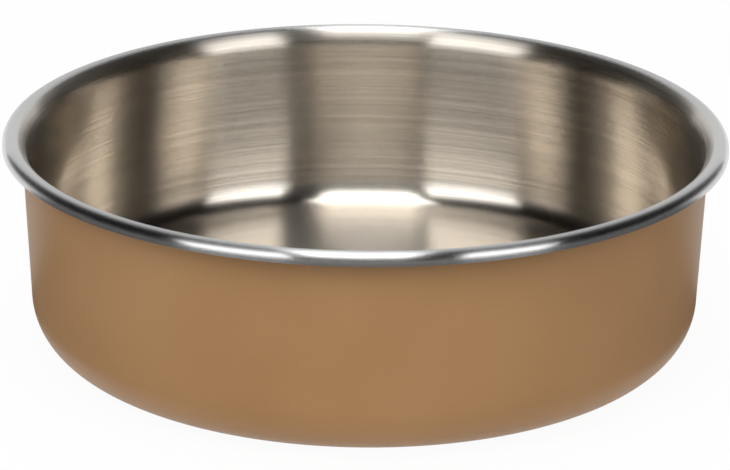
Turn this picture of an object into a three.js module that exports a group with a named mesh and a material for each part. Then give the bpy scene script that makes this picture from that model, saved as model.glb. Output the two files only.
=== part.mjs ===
// A pet food bowl: a drawn steel bowl with a rolled rim, seated in a moulded outer shell that
// has a deep hollow foot, with a rubber ring in a groove underneath. All are turned about +Z.
// Millimetres. The origin is on the axis, on the surface that the bowl stands on.
import * as THREE from "three";

// Overall sizes.
const rimDiameter = 200; // across the outside of the rolled rim
const rimTop = 62; // height of the rim
const wallLean = THREE.MathUtils.degToRad(2.55); // the wall opens upwards by this angle

// The drawn sheet. Each bend is the radius on its tight side.
const sheetThickness = 0.6;
const floorBend = 9; // from the floor to the wall
const shoulderBend = 7.4; // from the wall out to the rim
const shoulderEnd = THREE.MathUtils.degToRad(45); // how far the food side has turned up there
const rimBend = 2; // the rolled rim, from the shoulder to its outer side
const rimSkirt = 0.6; // straight length of its outer side

// The moulded shell.
const bondLine = 0.05; // glue
const shellWall = 0.6;
const shellBase = 3.35; // thickness under the floor
const shellBend = 15.35; // outside, from the foot to the wall
const footHollow = 3.2; // depth of the hollow under the base
const footWidth = 3; // between the hollow and the groove
const shellHug = THREE.MathUtils.degToRad(14); // how far its edge follows the shoulder

// The ring and its groove.
const ringDiameter = 132; // outside
const ringWidth = 8;
const ringStand = 1; // how far it stands out below the foot
const ringEdge = 0.8; // rounding of the edges that it stands on
const ringFit = 0.3; // on each side in the groove
const grooveDepth = 1.6;

// Facets.
const turnSteps = 60; // around the axis
const bendStep = THREE.MathUtils.degToRad(15);
const edgeSteps = 2; // for each quarter of a turn around the ring's edges

// The direction in which the food side faces: 0 is towards the axis and a quarter turn is up.
function facing(angle) {
  return new THREE.Vector2(-Math.cos(angle), Math.sin(angle));
}

// Stations of a bend: points of the food side, each with the angle at which it faces.
// The radius is negative where the food side is hollow.
function bend(centre, radius, from, to) {
  const steps = Math.ceil(Math.abs(to - from) / bendStep);
  return Array.from({ length: steps + 1 }, (_, step) => {
    const angle = from + ((to - from) * step) / steps;
    return { point: centre.clone().addScaledVector(facing(angle), radius), angle };
  });
}

// The stations' points, moved away from the food side.
function behind(stations, distance) {
  return stations.map(({ point, angle }) => point.clone().addScaledVector(facing(angle), -distance));
}

// The centre of a bend between a flat at a height and the wall, which runs through a point.
function wallBendCentre(wallPoint, radius, flatHeight) {
  const centre = wallPoint.clone().addScaledVector(facing(wallLean), radius);
  const rise = flatHeight + radius - centre.y;
  return centre.add(new THREE.Vector2(rise * Math.tan(wallLean), rise));
}

// A solid of revolution about +Z, from a section of radius and height.
function turned(name, section, material) {
  const geometry = new THREE.LatheGeometry(section, turnSteps);
  geometry.rotateX(Math.PI / 2);
  const mesh = new THREE.Mesh(geometry, new THREE.MeshStandardMaterial(material));
  mesh.name = name;
  return mesh;
}

// The food side, from the middle of the floor to the cut edge of the rim, worked out from the
// rim inwards: the shoulder ends where the rolled rim begins, and the wall hangs from it.
const up = Math.PI / 2;
const outwards = Math.PI;
const shellInside = sheetThickness + bondLine; // from the food side
const floorHeight = ringStand + footHollow + shellBase + shellInside;
const rimRadius = rimDiameter / 2;
const rimOutside = rimBend + sheetThickness;
const shoulderOutside = shoulderBend + sheetThickness;
const rimCentre = new THREE.Vector2(rimRadius - rimOutside, rimTop - rimOutside);
const shoulderCentre = rimCentre
  .clone()
  .addScaledVector(facing(shoulderEnd), rimOutside - shoulderOutside);
const shoulder = bend(shoulderCentre, shoulderOutside, wallLean, shoulderEnd);
const wallTop = shoulder[0].point;
const floorCentre = wallBendCentre(wallTop, floorBend, floorHeight);
const middle = { point: new THREE.Vector2(0, floorHeight), angle: up };
const floorAndWall = [middle, ...bend(floorCentre, -floorBend, up, wallLean)];
const rolledRim = bend(rimCentre, rimOutside, shoulderEnd, outwards);
const cutEdge = {
  point: new THREE.Vector2(rimRadius, rimTop - rimOutside - rimSkirt),
  angle: outwards,
};

const sheet = [...floorAndWall, ...shoulder, ...rolledRim.slice(1), cutEdge];
const steelSection = [...behind(sheet, sheetThickness), ...behind(sheet, 0).reverse()];
const steelBowl = turned("steel_bowl", steelSection, {
  color: 0xc4beb4,
  roughness: 0.35,
  metalness: 1,
});

// The shell's inside follows the sheet, and its edge follows the shoulder a little way. Its
// outside has a bend of its own, a groove for the ring in its foot, and a hollow inside that.
const shellOutside = shellInside + shellWall;
const shellFace = wallTop.clone().addScaledVector(facing(wallLean), -shellOutside);
const shellCentre = wallBendCentre(shellFace, shellBend, ringStand);
const hug = bend(shoulderCentre, shoulderOutside, wallLean, wallLean + shellHug);
const shellLining = behind([...floorAndWall, ...hug], shellInside);
const shellEdge = shellLining.at(-1).y;
const shellEdgeRadius = shellFace.x + (shellEdge - shellFace.y) * Math.tan(wallLean);
const ringOuter = ringDiameter / 2;
const ringInner = ringOuter - ringWidth;
const grooveRoof = ringStand + grooveDepth;
const hollowRadius = ringInner - ringFit - footWidth;
const shellSection = [
  new THREE.Vector2(0, ringStand + footHollow),
  new THREE.Vector2(hollowRadius, ringStand + footHollow),
  new THREE.Vector2(hollowRadius, ringStand),
  new THREE.Vector2(ringInner - ringFit, ringStand),
  new THREE.Vector2(ringInner - ringFit, grooveRoof),
  new THREE.Vector2(ringOuter + ringFit, grooveRoof),
  new THREE.Vector2(ringOuter + ringFit, ringStand),
  ...behind(bend(shellCentre, -shellBend, up, wallLean), 0),
  new THREE.Vector2(shellEdgeRadius, shellEdge),
  ...shellLining.reverse(),
];
const outerShell = turned("outer_shell", shellSection, {
  color: 0xa37f5a,
  roughness: 0.45,
  metalness: 0,
});

// The ring is glued to the roof of the groove.
function ringSection() {
  const top = grooveRoof - bondLine;
  const section = new THREE.Path();
  section.moveTo(ringInner, top);
  section.lineTo(ringInner, ringEdge);
  section.absarc(ringInner + ringEdge, ringEdge, ringEdge, Math.PI, 1.5 * Math.PI);
  section.lineTo(ringOuter - ringEdge, 0);
  section.absarc(ringOuter - ringEdge, ringEdge, ringEdge, 1.5 * Math.PI, 2 * Math.PI);
  section.lineTo(ringOuter, top);
  section.lineTo(ringInner, top);
  return section.getPoints(edgeSteps);
}

const nonSlipRing = turned("non_slip_ring", ringSection(), {
  color: 0x2a2a2b,
  roughness: 0.9,
  metalness: 0,
});

const bowl = new THREE.Group();
bowl.add(steelBowl, outerShell, nonSlipRing);

export default bowl;
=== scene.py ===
# A pet food bowl: a drawn steel bowl with a rolled rim, seated in a satin brown moulded shell
# with a rubber ring under its base, each made around the matching piece of the frame.
import math

import bmesh
import bpy
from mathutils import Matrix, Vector


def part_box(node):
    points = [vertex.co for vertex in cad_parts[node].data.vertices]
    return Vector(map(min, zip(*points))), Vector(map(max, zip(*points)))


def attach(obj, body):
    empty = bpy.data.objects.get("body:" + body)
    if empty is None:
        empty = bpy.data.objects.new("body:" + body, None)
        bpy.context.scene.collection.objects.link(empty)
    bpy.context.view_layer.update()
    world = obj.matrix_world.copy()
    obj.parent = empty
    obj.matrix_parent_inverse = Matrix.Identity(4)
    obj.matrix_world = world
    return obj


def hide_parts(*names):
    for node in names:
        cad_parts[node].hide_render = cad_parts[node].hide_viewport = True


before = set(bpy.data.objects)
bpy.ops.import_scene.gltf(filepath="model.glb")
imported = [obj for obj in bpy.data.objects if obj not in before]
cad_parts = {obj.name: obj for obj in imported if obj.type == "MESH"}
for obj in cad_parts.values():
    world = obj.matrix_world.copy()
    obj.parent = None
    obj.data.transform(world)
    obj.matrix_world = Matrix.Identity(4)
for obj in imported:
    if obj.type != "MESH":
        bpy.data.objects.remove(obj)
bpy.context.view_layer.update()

# The steel bowl is one deep-drawn sheet of stainless steel: a flat floor, a bend, a steep wall,
# and an edge that turns out over a shoulder and is rolled down into a rounded rim.
# The inside was brushed while it turned, so fine scratches run around the axis.
SHEET = 0.0006
WALL_LEAN = math.radians(2.55)  # the wall opens upwards
FLOOR_BEND = 0.009  # radii on the food side
SHOULDER_BEND = 0.008
SHOULDER_END = math.radians(45)  # how far the shoulder has turned where the rim begins
RIM_BEND = 0.0026
RIM_SKIRT = 0.0006  # straight length of the rim's outer side
AROUND = 240  # facets around the axis
BEND_FACET = math.radians(2.5)
STRAIGHT_FACET = 0.004
SAME_PLACE = 1e-6  # points that are nearer than this are one
SMOOTH_BELOW = math.radians(40)  # edges that turn further stay sharp
QUARTER = math.pi / 2


def facing(angle):
    """The way that the food side faces: 0 is towards the axis and a quarter turn is up."""
    return Vector((-math.cos(angle), math.sin(angle)))


def wall_bend_centre(wall_point, bend, flat_height):
    """The centre of a bend between a flat and the wall, which runs through a point."""
    centre = wall_point + facing(WALL_LEAN) * bend
    rise = flat_height + bend - centre.y
    return centre + Vector((rise * math.tan(WALL_LEAN), rise))


steel_low, steel_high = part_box("steel_bowl")
rim_radius = steel_high.x
rim_top = steel_high.z
floor_height = steel_low.z + SHEET
rim_centre = Vector((rim_radius - RIM_BEND, rim_top - RIM_BEND))
shoulder_centre = rim_centre + facing(SHOULDER_END) * (RIM_BEND - SHOULDER_BEND)
wall_top = shoulder_centre + facing(WALL_LEAN) * SHOULDER_BEND
floor_centre = wall_bend_centre(wall_top, FLOOR_BEND, floor_height)
cut_edge = rim_centre.y - RIM_SKIRT


def start_section(name, radius, height):
    """A mesh with one vertex in the XZ plane, in edit mode, to draw a section from."""
    bpy.ops.object.select_all(action="DESELECT")
    bpy.ops.mesh.primitive_plane_add(size=SHEET, location=(radius, 0, height))
    piece = bpy.context.object
    piece.name = piece.data.name = name
    bpy.ops.object.transform_apply(location=True, rotation=True, scale=True)
    bpy.ops.object.mode_set(mode="EDIT")
    bpy.ops.mesh.select_mode(type="VERT")
    bpy.ops.mesh.select_all(action="SELECT")
    bpy.ops.mesh.merge(type="CENTER")
    return piece


def draw_to(piece, radius, height):
    """Draws a section on from its last vertex, straight to a place."""
    mesh = bmesh.from_edit_mesh(piece.data)
    here = next(vertex.co for vertex in mesh.verts if vertex.select)
    way = Vector((radius, 0, height)) - here
    count = math.ceil(way.length / STRAIGHT_FACET)
    for i in range(count):
        bpy.ops.mesh.extrude_region_move(TRANSFORM_OT_translate={"value": way / count})


def draw_about(centre, turn):
    """Draws a section on from its last vertex, about a centre, to the right for a turn above 0."""
    steps = math.ceil(abs(turn) / BEND_FACET)
    place = (centre.x, 0, centre.y)
    bpy.ops.mesh.spin(steps=steps, angle=turn, center=place, axis=(0, -1, 0))


def turn_section(piece):
    """Spins a section about Z and closes its seam. The piece goes back to object mode."""
    bpy.ops.mesh.select_all(action="SELECT")
    bpy.ops.mesh.remove_doubles(threshold=SAME_PLACE)
    bpy.ops.mesh.spin(steps=AROUND, angle=2 * math.pi, center=(0, 0, 0), axis=(0, 0, 1))
    bpy.ops.mesh.select_all(action="SELECT")
    bpy.ops.mesh.remove_doubles(threshold=SAME_PLACE)
    bpy.ops.mesh.normals_make_consistent(inside=False)
    bpy.ops.object.mode_set(mode="OBJECT")


steel_bowl = start_section("bowl_sheet", 0, floor_height)
draw_to(steel_bowl, floor_centre.x, floor_height)
draw_about(floor_centre, WALL_LEAN - QUARTER)
draw_to(steel_bowl, *wall_top)
draw_about(shoulder_centre, SHOULDER_END - WALL_LEAN)
draw_about(rim_centre, math.pi - SHOULDER_END)
draw_to(steel_bowl, rim_radius, cut_edge)
turn_section(steel_bowl)
middle = min(steel_bowl.data.polygons, key=lambda face: face.center.xy.length)
if middle.normal.z < 0:
    bpy.ops.object.mode_set(mode="EDIT")
    bpy.ops.mesh.select_all(action="SELECT")
    bpy.ops.mesh.flip_normals()
    bpy.ops.object.mode_set(mode="OBJECT")
sheet = steel_bowl.modifiers.new("sheet", "SOLIDIFY")
sheet.thickness = SHEET
sheet.offset = -1
sheet.use_even_offset = True
bpy.ops.object.modifier_apply(modifier=sheet.name)
bpy.ops.object.shade_smooth_by_angle(angle=SMOOTH_BELOW)


class Shade:
    """A socket of a material's nodes, which takes sums and products as a number does."""

    def __init__(self, tree, socket=None):
        self.tree = tree
        self.socket = socket

    def node(self, kind, settings, inputs, output=0):
        """Adds a node of a kind, sets it, feeds its sockets, and gives one of its outputs."""
        made = self.tree.nodes.new("ShaderNode" + kind)
        for name, setting in settings.items():
            setattr(made, name, setting)
        for name, value in inputs.items():
            if isinstance(value, Shade):
                self.tree.links.new(value.socket, made.inputs[name])
            else:
                made.inputs[name].default_value = value
        return Shade(self.tree, made.outputs[output])

    def math(self, operation, first, second=0.0):
        return self.node("Math", {"operation": operation}, {0: first, 1: second})

    def parts(self, vector):
        """The three numbers of a vector."""
        return [self.node("SeparateXYZ", {}, {"Vector": vector}, i) for i in range(3)]

    def between(self, low, high):
        """0 below one value, 1 above another, and a soft step between them."""
        settings = {"interpolation_type": "SMOOTHSTEP"}
        return self.node("MapRange", settings, {"Value": self, "From Min": low, "From Max": high})

    def swing(self):
        """How far a noise is above or below its middle."""
        return self - 0.5

    def mixed(self, first, second):
        """A colour from the first at 0 to the second at 1."""
        return self.node("Mix", {"data_type": "RGBA"}, {0: self, 6: first, 7: second}, 2)

    def __add__(self, other):
        return self.math("ADD", self, other)

    def __radd__(self, other):
        return self.math("ADD", other, self)

    def __sub__(self, other):
        return self.math("SUBTRACT", self, other)

    def __rsub__(self, other):
        return self.math("SUBTRACT", other, self)

    def __mul__(self, other):
        return self.math("MULTIPLY", self, other)

    def __rmul__(self, other):
        return self.math("MULTIPLY", other, self)

    def __truediv__(self, other):
        return self.math("DIVIDE", self, other)

    def __rtruediv__(self, other):
        return self.math("DIVIDE", other, self)

    def __pow__(self, other):
        return self.math("POWER", self, other)

    def __rpow__(self, other):
        return self.math("POWER", other, self)


def new_finish(piece, name):
    """Gives a piece an empty material, and returns its nodes and its surface shader's sockets."""
    material = bpy.data.materials.new(name)
    material.use_nodes = True
    piece.data.materials.clear()
    piece.data.materials.append(material)
    tree = material.node_tree
    return Shade(tree), tree.nodes["Principled BSDF"].inputs


def feed(shade, socket):
    shade.tree.links.new(shade.socket, socket)


STEEL_DARK = (0.68, 0.63, 0.56, 1)  # between the brush lines, and on them
STEEL_LIGHT = (0.80, 0.74, 0.66, 1)
RIM_COLOUR = (0.68, 0.68, 0.675, 1)
FINE_LINES = (0.0005, 0.30, 1)  # pitch, length and detail of the brush lines
COARSE_LINES = (0.0012, 0.80, 2)
LINE_WANDER = 0.6  # strength of the lines' finer detail
BRUSH_DEPTH = 0.00002
BRUSH_ANGLE = 0.25  # a quarter turn, so that the blur lies across the lines
FINE_TONE = 3.4  # how strongly the lines show in the colour
COARSE_TONE = 1.4
DEPTH_OFF_WALL = 0.25  # shares of the lines' depth and tone on the floor and the rim
TONE_OFF_WALL = 0.4
FLAT_ENDS = (0.0083, 0.0098)  # heights
WALL_BEGINS = (0.0100, 0.0150)
LOW_WALL_ENDS = (0.0140, 0.0280)
SHOULDER_BEGINS = (0.0928, 0.0942)  # radii
ROLL_BEGINS = (0.0948, 0.0962)
STEEL_BLUR = 0.17  # on the bend, and what the other zones have more
FLAT_BLUR = 0.08
WALL_BLUR = 0.035
LOW_WALL_BLUR = 0.06
SHOULDER_BLUR = 0.09
ROLL_BLUR = 0.09
LINE_BLUR = 0.06  # more and less of it along the wall's coarse lines

steel, surface = new_finish(steel_bowl, "brushed steel")
across, deep, height = steel.parts(steel.node("TexCoord", {}, {}, "Object"))
radius = (across * across + deep * deep) ** 0.5
along = radius + height  # grows from the middle of the floor to the rim


def brushed(pitch, length, detail):
    """Streaks that run around the axis, a pitch apart and a length long."""
    turn = rim_radius / length
    place = {"X": along / pitch, "Y": across / radius * turn, "Z": deep / radius * turn}
    where = steel.node("CombineXYZ", {}, place)
    inputs = {"Vector": where, "Scale": 1, "Detail": detail, "Roughness": LINE_WANDER}
    return steel.node("TexNoise", {}, inputs)


rolled = radius.between(*ROLL_BEGINS)
shoulder = radius.between(*SHOULDER_BEGINS) * (1 - rolled)
wall = height.between(*WALL_BEGINS) * (1 - rolled)
low_wall = wall * (1 - height.between(*LOW_WALL_ENDS))
flat = 1 - height.between(*FLAT_ENDS)
fine = brushed(*FINE_LINES)
coarse = brushed(*COARSE_LINES)
blur = STEEL_BLUR + FLAT_BLUR * flat + WALL_BLUR * wall + LOW_WALL_BLUR * low_wall
blur = blur + SHOULDER_BLUR * shoulder + ROLL_BLUR * rolled + LINE_BLUR * coarse.swing() * wall
feed(blur, surface["Roughness"])
lines = (fine + coarse) * (DEPTH_OFF_WALL + (1 - DEPTH_OFF_WALL) * wall)
grain = steel.node("Bump", {}, {"Height": lines, "Strength": 1, "Distance": BRUSH_DEPTH})
feed(grain, surface["Normal"])
contrast = TONE_OFF_WALL + (1 - TONE_OFF_WALL) * wall
streak = 0.5 + (fine.swing() * FINE_TONE + coarse.swing() * COARSE_TONE) * contrast
feed(rolled.mixed(streak.mixed(STEEL_DARK, STEEL_LIGHT), RIM_COLOUR), surface["Base Color"])
surface["Metallic"].default_value = 1
surface["Anisotropic"].default_value = 1
surface["Anisotropic Rotation"].default_value = BRUSH_ANGLE
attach(steel_bowl, "root")
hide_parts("steel_bowl")

# The outer shell is moulded in satin caramel-brown plastic. Its thin wall follows the sheet up to
# the shoulder, and below it has a thick foot with a groove for the ring and a hollow in the middle.
# The steel bowl is glued into it.
GLUE = 0.00005
SHELL_WALL = 0.0006
SHELL_BEND = 0.01535
SHELL_HUG = math.radians(14)  # how far its edge follows the shoulder
SHELL_EDGE = 0.00012  # rounding of its edges
EDGE_FACETS = 4
FOOT_HOLLOW = 0.0032  # depth under the base
FOOT_WIDTH = 0.003  # between the hollow and the groove
RING_FIT = 0.0003  # play on each side of the ring
RING_WIDTH = 0.008
GROOVE_DEPTH = 0.0016

shell_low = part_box("outer_shell")[0]
ring_low, ring_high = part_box("non_slip_ring")
base = shell_low.z
groove_roof = base + GROOVE_DEPTH
groove_outer = ring_high.x + RING_FIT
groove_inner = ring_high.x - RING_WIDTH - RING_FIT
hollow_radius = groove_inner - FOOT_WIDTH
hollow_roof = base + FOOT_HOLLOW
lining = SHEET + GLUE  # from the food side
shell_face = wall_top - facing(WALL_LEAN) * (lining + SHELL_WALL)
shell_centre = wall_bend_centre(shell_face, SHELL_BEND, base)
shell_edge = shoulder_centre + facing(WALL_LEAN + SHELL_HUG) * (SHOULDER_BEND - lining)
edge_radius = shell_face.x + (shell_edge.y - shell_face.y) * math.tan(WALL_LEAN)
lining_foot = floor_centre - facing(WALL_LEAN) * (FLOOR_BEND + lining)

outer_shell = start_section("brown_shell", 0, hollow_roof)
draw_to(outer_shell, hollow_radius, hollow_roof)
draw_to(outer_shell, hollow_radius, base)
draw_to(outer_shell, groove_inner, base)
draw_to(outer_shell, groove_inner, groove_roof)
draw_to(outer_shell, groove_outer, groove_roof)
draw_to(outer_shell, groove_outer, base)
draw_to(outer_shell, shell_centre.x, base)
draw_about(shell_centre, WALL_LEAN - QUARTER)
draw_to(outer_shell, edge_radius, shell_edge.y)
draw_to(outer_shell, *shell_edge)
draw_about(shoulder_centre, -SHELL_HUG)
draw_to(outer_shell, *lining_foot)
draw_about(floor_centre, QUARTER - WALL_LEAN)
draw_to(outer_shell, 0, floor_height - lining)
sharp = [(side, base) for side in (hollow_radius, groove_inner, groove_outer)]
sharp += [(edge_radius, shell_edge.y), shell_edge]
mesh = bmesh.from_edit_mesh(outer_shell.data)
for vertex in mesh.verts:
    place = Vector((vertex.co.x, vertex.co.z))
    vertex.select = any((place - Vector(corner)).length < SAME_PLACE for corner in sharp)
mesh.select_flush_mode()
bmesh.update_edit_mesh(outer_shell.data)
bpy.ops.mesh.bevel(offset=SHELL_EDGE, segments=EDGE_FACETS, affect="VERTICES")
turn_section(outer_shell)
bpy.ops.object.shade_smooth_by_angle(angle=SMOOTH_BELOW)

SHELL_DARK = (0.335, 0.180, 0.072, 1)
SHELL_LIGHT = (0.385, 0.214, 0.094, 1)
CLOUD_SCALE = 22  # clouds and grains in a metre
CLOUD_TONE = 1.6
CLOUD_BLUR = 0.12
GRAIN_SCALE = 2200
GRAIN_TONE = 0.7
GRAIN_BLUR = 0.08
GRAIN_DEPTH = 0.000006
SHELL_BLUR = 0.43
SHELL_SHINE = 0.3

brown, surface = new_finish(outer_shell, "satin brown plastic")
place = brown.node("TexCoord", {}, {}, "Object")
cloud = brown.node("TexNoise", {}, {"Vector": place, "Scale": CLOUD_SCALE, "Detail": 2})
speckle = brown.node("TexNoise", {}, {"Vector": place, "Scale": GRAIN_SCALE, "Detail": 2})
shade = 0.5 + cloud.swing() * CLOUD_TONE + speckle.swing() * GRAIN_TONE
feed(shade.mixed(SHELL_DARK, SHELL_LIGHT), surface["Base Color"])
blur = SHELL_BLUR + cloud.swing() * CLOUD_BLUR + speckle.swing() * GRAIN_BLUR
feed(blur, surface["Roughness"])
grain = brown.node("Bump", {}, {"Height": speckle, "Strength": 1, "Distance": GRAIN_DEPTH})
feed(grain, surface["Normal"])
surface["Specular IOR Level"].default_value = SHELL_SHINE
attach(outer_shell, "root")
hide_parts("outer_shell")

# The ring keeps the bowl from sliding. It is moulded in matte black rubber and glued to the roof of
# the groove, and it stands out below the base with rounded edges.
RING_EDGE = 0.0008
RUBBER_DARK = (0.017, 0.017, 0.018, 1)
RUBBER_LIGHT = (0.031, 0.031, 0.032, 1)
RUBBER_BLUR = 0.78
DUST_SCALE = 60  # specks of dust and pores in a metre
DUST_TONE = 1.8
DUST_BLUR = 0.25
PORE_SCALE = 1500
PORE_TONE = 0.6
PORE_DEPTH = 0.00002

ring_outer = ring_high.x
ring_inner = ring_outer - RING_WIDTH
rounding = ring_low.z + RING_EDGE
ring = start_section("rubber_ring", ring_inner, ring_high.z)
draw_to(ring, ring_inner, rounding)
draw_about(Vector((ring_inner + RING_EDGE, rounding)), -QUARTER)
draw_to(ring, ring_outer - RING_EDGE, ring_low.z)
draw_about(Vector((ring_outer - RING_EDGE, rounding)), -QUARTER)
draw_to(ring, ring_outer, ring_high.z)
draw_to(ring, ring_inner, ring_high.z)
turn_section(ring)
bpy.ops.object.shade_smooth_by_angle(angle=SMOOTH_BELOW)

rubber, surface = new_finish(ring, "black rubber")
place = rubber.node("TexCoord", {}, {}, "Object")
dust = rubber.node("TexNoise", {}, {"Vector": place, "Scale": DUST_SCALE, "Detail": 4})
pores = rubber.node("TexNoise", {}, {"Vector": place, "Scale": PORE_SCALE, "Detail": 2})
shade = 0.5 + dust.swing() * DUST_TONE + pores.swing() * PORE_TONE
feed(shade.mixed(RUBBER_DARK, RUBBER_LIGHT), surface["Base Color"])
feed(RUBBER_BLUR + dust.swing() * DUST_BLUR, surface["Roughness"])
grain = rubber.node("Bump", {}, {"Height": pores, "Strength": 1, "Distance": PORE_DEPTH})
feed(grain, surface["Normal"])
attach(ring, "root")
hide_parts("non_slip_ring")

# The floor is a plain sheet of white paper. The camera and the metal see it near white, and it
# takes the bowl's shadow.
FLOOR_SIZE = 16
FLOOR_GAP = 0.0002  # under the ring
FLOOR_GLOW = 0.95  # share of even white in what is seen of it
PAPER_COLOUR = (0.9, 0.9, 0.9, 1)
PAPER_BLUR = 0.9
SEEN_BY = ("Is Camera Ray", "Is Glossy Ray", "Is Transmission Ray")

bpy.ops.object.select_all(action="DESELECT")
bpy.ops.mesh.primitive_plane_add(size=FLOOR_SIZE, location=(0, 0, -FLOOR_GAP))
floor = bpy.context.object
floor.name = "floor"
paper, surface = new_finish(floor, "white paper")
surface["Base Color"].default_value = PAPER_COLOUR
surface["Roughness"].default_value = PAPER_BLUR
surface["Specular IOR Level"].default_value = 0
by_camera, by_gloss, by_glass = [paper.node("LightPath", {}, {}, ray) for ray in SEEN_BY]
seen = (by_camera + by_gloss + by_glass) * FLOOR_GLOW
white = paper.node("Emission", {}, {"Color": (1, 1, 1, 1), "Strength": 1})
matte = Shade(paper.tree, paper.tree.nodes["Principled BSDF"].outputs[0])
look = paper.node("MixShader", {}, {0: seen, 1: matte, 2: white})
feed(look, paper.tree.nodes["Material Output"].inputs["Surface"])

# A ring of black card lies on the floor around the front and the sides of the bowl, open at the
# back. The rim's lower half and the shell mirror it. It casts no shadow and the camera doesn't
# see it.
CARD_OUTER = 1.2  # radii
CARD_INNER = 0.1
CARD_RISE = 0.002  # its inner edge is raised by this
CARD_FACETS = 96
CARD_OPENING = math.radians(74)  # to each side of straight back
CARD_COLOUR = (0.10, 0.10, 0.10, 1)
CARD_BLUR = 0.9

bpy.ops.object.select_all(action="DESELECT")
bpy.ops.mesh.primitive_cone_add(
    vertices=CARD_FACETS,
    radius1=CARD_OUTER,
    radius2=CARD_INNER,
    depth=CARD_RISE,
    end_fill_type="NOTHING",
    location=(0, 0, CARD_RISE / 2),
)
card = bpy.context.object
card.name = "dark_card"
bpy.ops.object.transform_apply(location=True, rotation=True, scale=True)
bpy.ops.object.mode_set(mode="EDIT")
bpy.ops.mesh.select_mode(type="FACE")
mesh = bmesh.from_edit_mesh(card.data)
for face in mesh.faces:
    face.select = face.calc_center_median().normalized().y > math.cos(CARD_OPENING)
bmesh.update_edit_mesh(card.data)
bpy.ops.mesh.delete(type="FACE")
bpy.ops.object.mode_set(mode="OBJECT")
surface = new_finish(card, "black card")[1]
surface["Base Color"].default_value = CARD_COLOUR
surface["Roughness"].default_value = CARD_BLUR
card.visible_camera = False
card.visible_diffuse = False
card.visible_shadow = False

# The room is dark at the sides. Two softboxes lean over the bowl from the left and right of the
# camera, with a long lamp overhead in three parts, a pale wall behind and a low dim one in front.
# A fill lamp and the room's even light reach the brown and the floor, and the metal doesn't show them.
ROOM_LIGHT = 0.16
SOFTBOX_LEAN = math.radians(61.6)  # 0 faces down
SOFTBOX_AWAY = 2.2
SOFTBOX_TALL = 1.6
SOFTBOX_RAISED = 0.47
SOFTBOX_GLOW = 2.6
STRIP_TALL = 0.6  # a dimmer strip above
STRIP_GLOW = 1.0
SOFTBOXES = (  # inner and outer side
    ("left_softbox", -0.81, -2.80),
    ("right_softbox", 1.1, 2.97),
)
OVERHEAD_HEIGHT = 2.0
OVERHEAD_LAMPS = (  # middle to the right and to the back, width, depth, brightness
    ("overhead_lamp", -0.05, -0.9, 0.9, 0.7, 3.5),
    ("overhead_middle_lamp", -0.045, -0.12, 0.7, 0.86, 3.2),
    ("overhead_back_lamp", -0.04, 0.65, 0.6, 0.7, 1.7),
)
WALLS = (  # azimuths and rises that it spans, distance, brightness, colour
    ("front_wall", -22, 26, 0, 12, 2.2, 0.3, (1, 0.88, 0.76)),
    ("back_wall", 145, 215, 0, 42, 2.5, 0.75, (1, 1, 1)),
    ("back_wall_above", 145, 215, 42, 66, 2.5, 0.7, (1, 1, 1)),
)
FILL_PLACE = (-0.3, -1.5, 1.7)
FILL_TURN = (math.radians(42), 0, math.radians(-11.3))
FILL_WIDTH = 1.6
FILL_TALL = 1.0
FILL_GLOW = 3.0

world = bpy.data.worlds.new("room")
bpy.context.scene.world = world
world.use_nodes = True
world.node_tree.nodes["Background"].inputs["Color"].default_value = (1, 1, 1, 1)
world.node_tree.nodes["Background"].inputs["Strength"].default_value = ROOM_LIGHT
world.cycles_visibility.glossy = False


def panel(name, place, turned, width, tall, glow):
    """A flat lamp with the brightness that its face shows. Without a turn it faces down."""
    lamp = bpy.data.lights.new(name, "AREA")
    lamp.shape = "RECTANGLE"
    lamp.size = width
    lamp.size_y = tall
    lamp.energy = glow * math.pi * width * tall
    lit = bpy.data.objects.new(name, lamp)
    bpy.context.scene.collection.objects.link(lit)
    lit.location = place
    lit.rotation_euler = turned
    lit.visible_camera = False
    return lit


def wall_panel(name, start, end, low, high, away, glow):
    """An upright lamp that faces the bowl, between two azimuths and two rises in degrees.

    An azimuth of 0 is the camera's side, and to the right of it is above 0.
    """
    middle = math.radians((start + end) / 2)
    width = 2 * away * math.tan(math.radians((end - start) / 2))
    foot, head = [away * math.tan(math.radians(rise)) for rise in (low, high)]
    place = (away * math.sin(middle), -away * math.cos(middle), (foot + head) / 2)
    return panel(name, place, (QUARTER, 0, middle), width, head - foot, glow)


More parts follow.
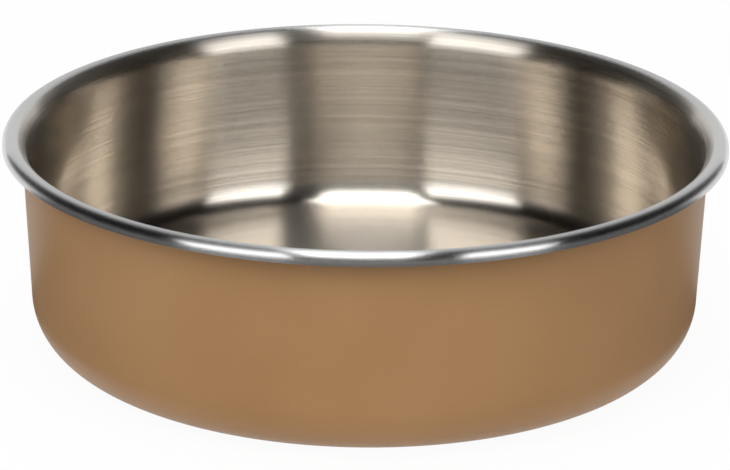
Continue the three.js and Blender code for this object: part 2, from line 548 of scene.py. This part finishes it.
softbox_back = Vector((0, -math.sin(SOFTBOX_LEAN), math.cos(SOFTBOX_LEAN)))
softbox_up = Vector((0, math.cos(SOFTBOX_LEAN), math.sin(SOFTBOX_LEAN)))
softbox_middle = softbox_back * SOFTBOX_AWAY + softbox_up * SOFTBOX_RAISED
strip_middle = softbox_middle + softbox_up * (SOFTBOX_TALL + STRIP_TALL) / 2
softbox_turn = (SOFTBOX_LEAN, 0, 0)
for name, inner, outer in SOFTBOXES:
    width = abs(outer - inner)
    aside = Vector(((inner + outer) / 2, 0, 0))
    panel(name, softbox_middle + aside, softbox_turn, width, SOFTBOX_TALL, SOFTBOX_GLOW)
    panel(name + "_strip", strip_middle + aside, softbox_turn, width, STRIP_TALL, STRIP_GLOW)
for name, right, back, width, depth, glow in OVERHEAD_LAMPS:
    panel(name, (right, back, OVERHEAD_HEIGHT), (0, 0, 0), width, depth, glow)
for name, start, end, low, high, away, glow, tint in WALLS:
    wall_panel(name, start, end, low, high, away, glow).data.color = tint
fill = panel("front_fill", FILL_PLACE, FILL_TURN, FILL_WIDTH, FILL_TALL, FILL_GLOW)
fill.visible_glossy = False

# The camera stands where the photograph was taken from, in front of the bowl and a little above
# it, with a long lens and a slight roll. Its place was fitted to the bowl's outline.
DISTANCE = 1.0613
ELEVATION = math.radians(20.21)
ROLL = math.radians(0.56)
FOCAL_PIXELS = 3808
PHOTO_WIDTH = 730
SENSOR_WIDTH = 36  # millimetres
AIM = Vector((0.00008, 0, 0.0306))

lens = bpy.data.cameras.new("camera")
lens.sensor_width = SENSOR_WIDTH
lens.lens = FOCAL_PIXELS * SENSOR_WIDTH / PHOTO_WIDTH
camera = bpy.data.objects.new("camera", lens)
bpy.context.scene.collection.objects.link(camera)
camera.location = AIM + DISTANCE * Vector((0, -math.cos(ELEVATION), math.sin(ELEVATION)))
camera.rotation_euler = (QUARTER - ELEVATION, 0, 0)
camera.rotation_euler.rotate_axis("Z", ROLL)
bpy.context.scene.camera = camera
bpy.context.scene.view_settings.view_transform = "Standard"
